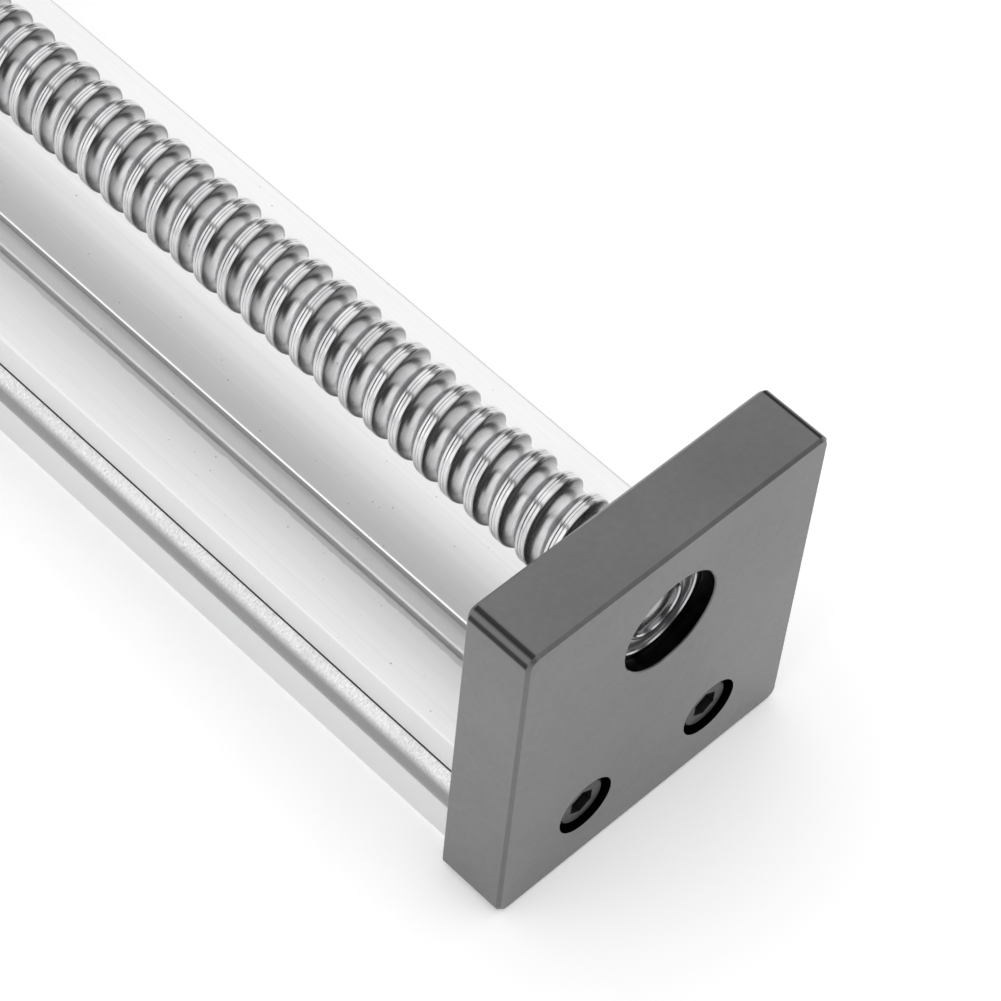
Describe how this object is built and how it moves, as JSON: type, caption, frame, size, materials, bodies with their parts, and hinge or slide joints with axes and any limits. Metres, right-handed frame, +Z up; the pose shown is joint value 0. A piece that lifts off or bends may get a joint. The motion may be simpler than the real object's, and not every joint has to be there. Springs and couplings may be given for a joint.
{
  "type": "ball screw linear module",
  "caption": "Linear actuator: aluminium rail with side guide rods, ball screw between end plates, roller-guided carriage with table, and a coupling housing with a motor face.",
  "frame": {"origin": "middle of the rail's underside, halfway along the rail", "axes": "+X along the rail towards the idle end plate, +Z up from the underside, the carriage travels along +X"},
  "size_m": [0.3866, 0.098, 0.074],
  "materials": {
    "clear_anodised_aluminium": "clear anodised, satin",
    "dark_anodised_aluminium": "dark grey anodised, satin",
    "ground_rod_steel": "hardened, drawn and ground",
    "rolled_screw_steel": "rolled and polished",
    "ground_nut_steel": "ground",
    "bearing_steel": "ground and polished",
    "shield_steel": "pressed sheet",
    "black_oxide_steel": "black oxide, oiled",
    "zinc_plated_steel": "bright zinc plated",
    "spider_rubber": "moulded elastomer",
    "wiper_plastic": "moulded",
    "nipple_brass": "turned"
  },
  "bodies": {
    "rail": {"base_rail": "clear_anodised_aluminium", "guide_rod_left": "ground_rod_steel", "guide_rod_right": "ground_rod_steel", "idle_end_plate": "dark_anodised_aluminium", "drive_end_block": "dark_anodised_aluminium", "idle_plate_screws": "black_oxide_steel", "drive_block_screws": "black_oxide_steel", "housing_screws": "black_oxide_steel", "idle_bearing_outer_ring": "bearing_steel", "idle_bearing_shields": "shield_steel", "drive_bearing_outer_rings": "bearing_steel", "drive_bearing_shields": "shield_steel", "bearing_cover": "dark_anodised_aluminium", "bearing_cover_screws": "black_oxide_steel", "coupling_housing": "dark_anodised_aluminium"},
    "screw": {"ball_screw": "rolled_screw_steel", "idle_bearing_inner_ring": "bearing_steel", "drive_bearing_inner_rings": "bearing_steel", "bearing_lock_nut": "black_oxide_steel", "coupling_hub_screw_side": "clear_anodised_aluminium", "coupling_hub_motor_side": "clear_anodised_aluminium", "coupling_spider": "spider_rubber", "coupling_clamp_screws": "black_oxide_steel"},
    "carriage": {"carriage_block": "dark_anodised_aluminium", "table_plate": "dark_anodised_aluminium", "table_screws": "black_oxide_steel", "ball_nut": "ground_nut_steel", "nut_wipers": "wiper_plastic", "nut_screws": "black_oxide_steel", "grease_nipple": "nipple_brass", "roller_inner_rings": "bearing_steel", "roller_shields": "shield_steel", "roller_axle_bolts": "zinc_plated_steel", "axle_nuts": "zinc_plated_steel", "roller_spacers": "zinc_plated_steel", "eccentric_bushes": "zinc_plated_steel"},
    "roller_left_rear": {"roller_left_rear": "bearing_steel"},
    "roller_left_front": {"roller_left_front": "bearing_steel"},
    "roller_right_rear": {"roller_right_rear": "bearing_steel"},
    "roller_right_front": {"roller_right_front": "bearing_steel"}
  },
  "joints": [
    {"name": "carriage_slide", "type": "slide", "parent": "rail", "child": "carriage", "axis": [1, 0, 0], "range_m": [0, 0.2]},
    {"name": "screw_spin", "type": "hinge", "parent": "rail", "child": "screw", "pos_m": [0, 0, 0.044], "axis": [-1, 0, 0], "range_deg": [0, 14401]},
    {"name": "roller_left_rear_spin", "type": "hinge", "parent": "carriage", "child": "roller_left_rear", "pos_m": [-0.133, -0.03655, 0.0137], "axis": [0, 0, 1], "range_deg": [0, 1275]},
    {"name": "roller_left_front_spin", "type": "hinge", "parent": "carriage", "child": "roller_left_front", "pos_m": [-0.081, -0.03655, 0.0137], "axis": [0, 0, 1], "range_deg": [0, 1275]},
    {"name": "roller_right_rear_spin", "type": "hinge", "parent": "carriage", "child": "roller_right_rear", "pos_m": [-0.133, 0.03655, 0.0137], "axis": [0, 0, -1], "range_deg": [0, 1275]},
    {"name": "roller_right_front_spin", "type": "hinge", "parent": "carriage", "child": "roller_right_front", "pos_m": [-0.081, 0.03655, 0.0137], "axis": [0, 0, -1], "range_deg": [0, 1275]}
  ],
  "couplings": [
    {"joint": "screw_spin", "follows": "carriage_slide", "rad_per_m": 1256.6},
    {"joint": "roller_left_rear_spin", "follows": "carriage_slide", "rad_per_m": 111.11},
    {"joint": "roller_left_front_spin", "follows": "carriage_slide", "rad_per_m": 111.11},
    {"joint": "roller_right_rear_spin", "follows": "carriage_slide", "rad_per_m": 111.11},
    {"joint": "roller_right_front_spin", "follows": "carriage_slide", "rad_per_m": 111.11}
  ]
}
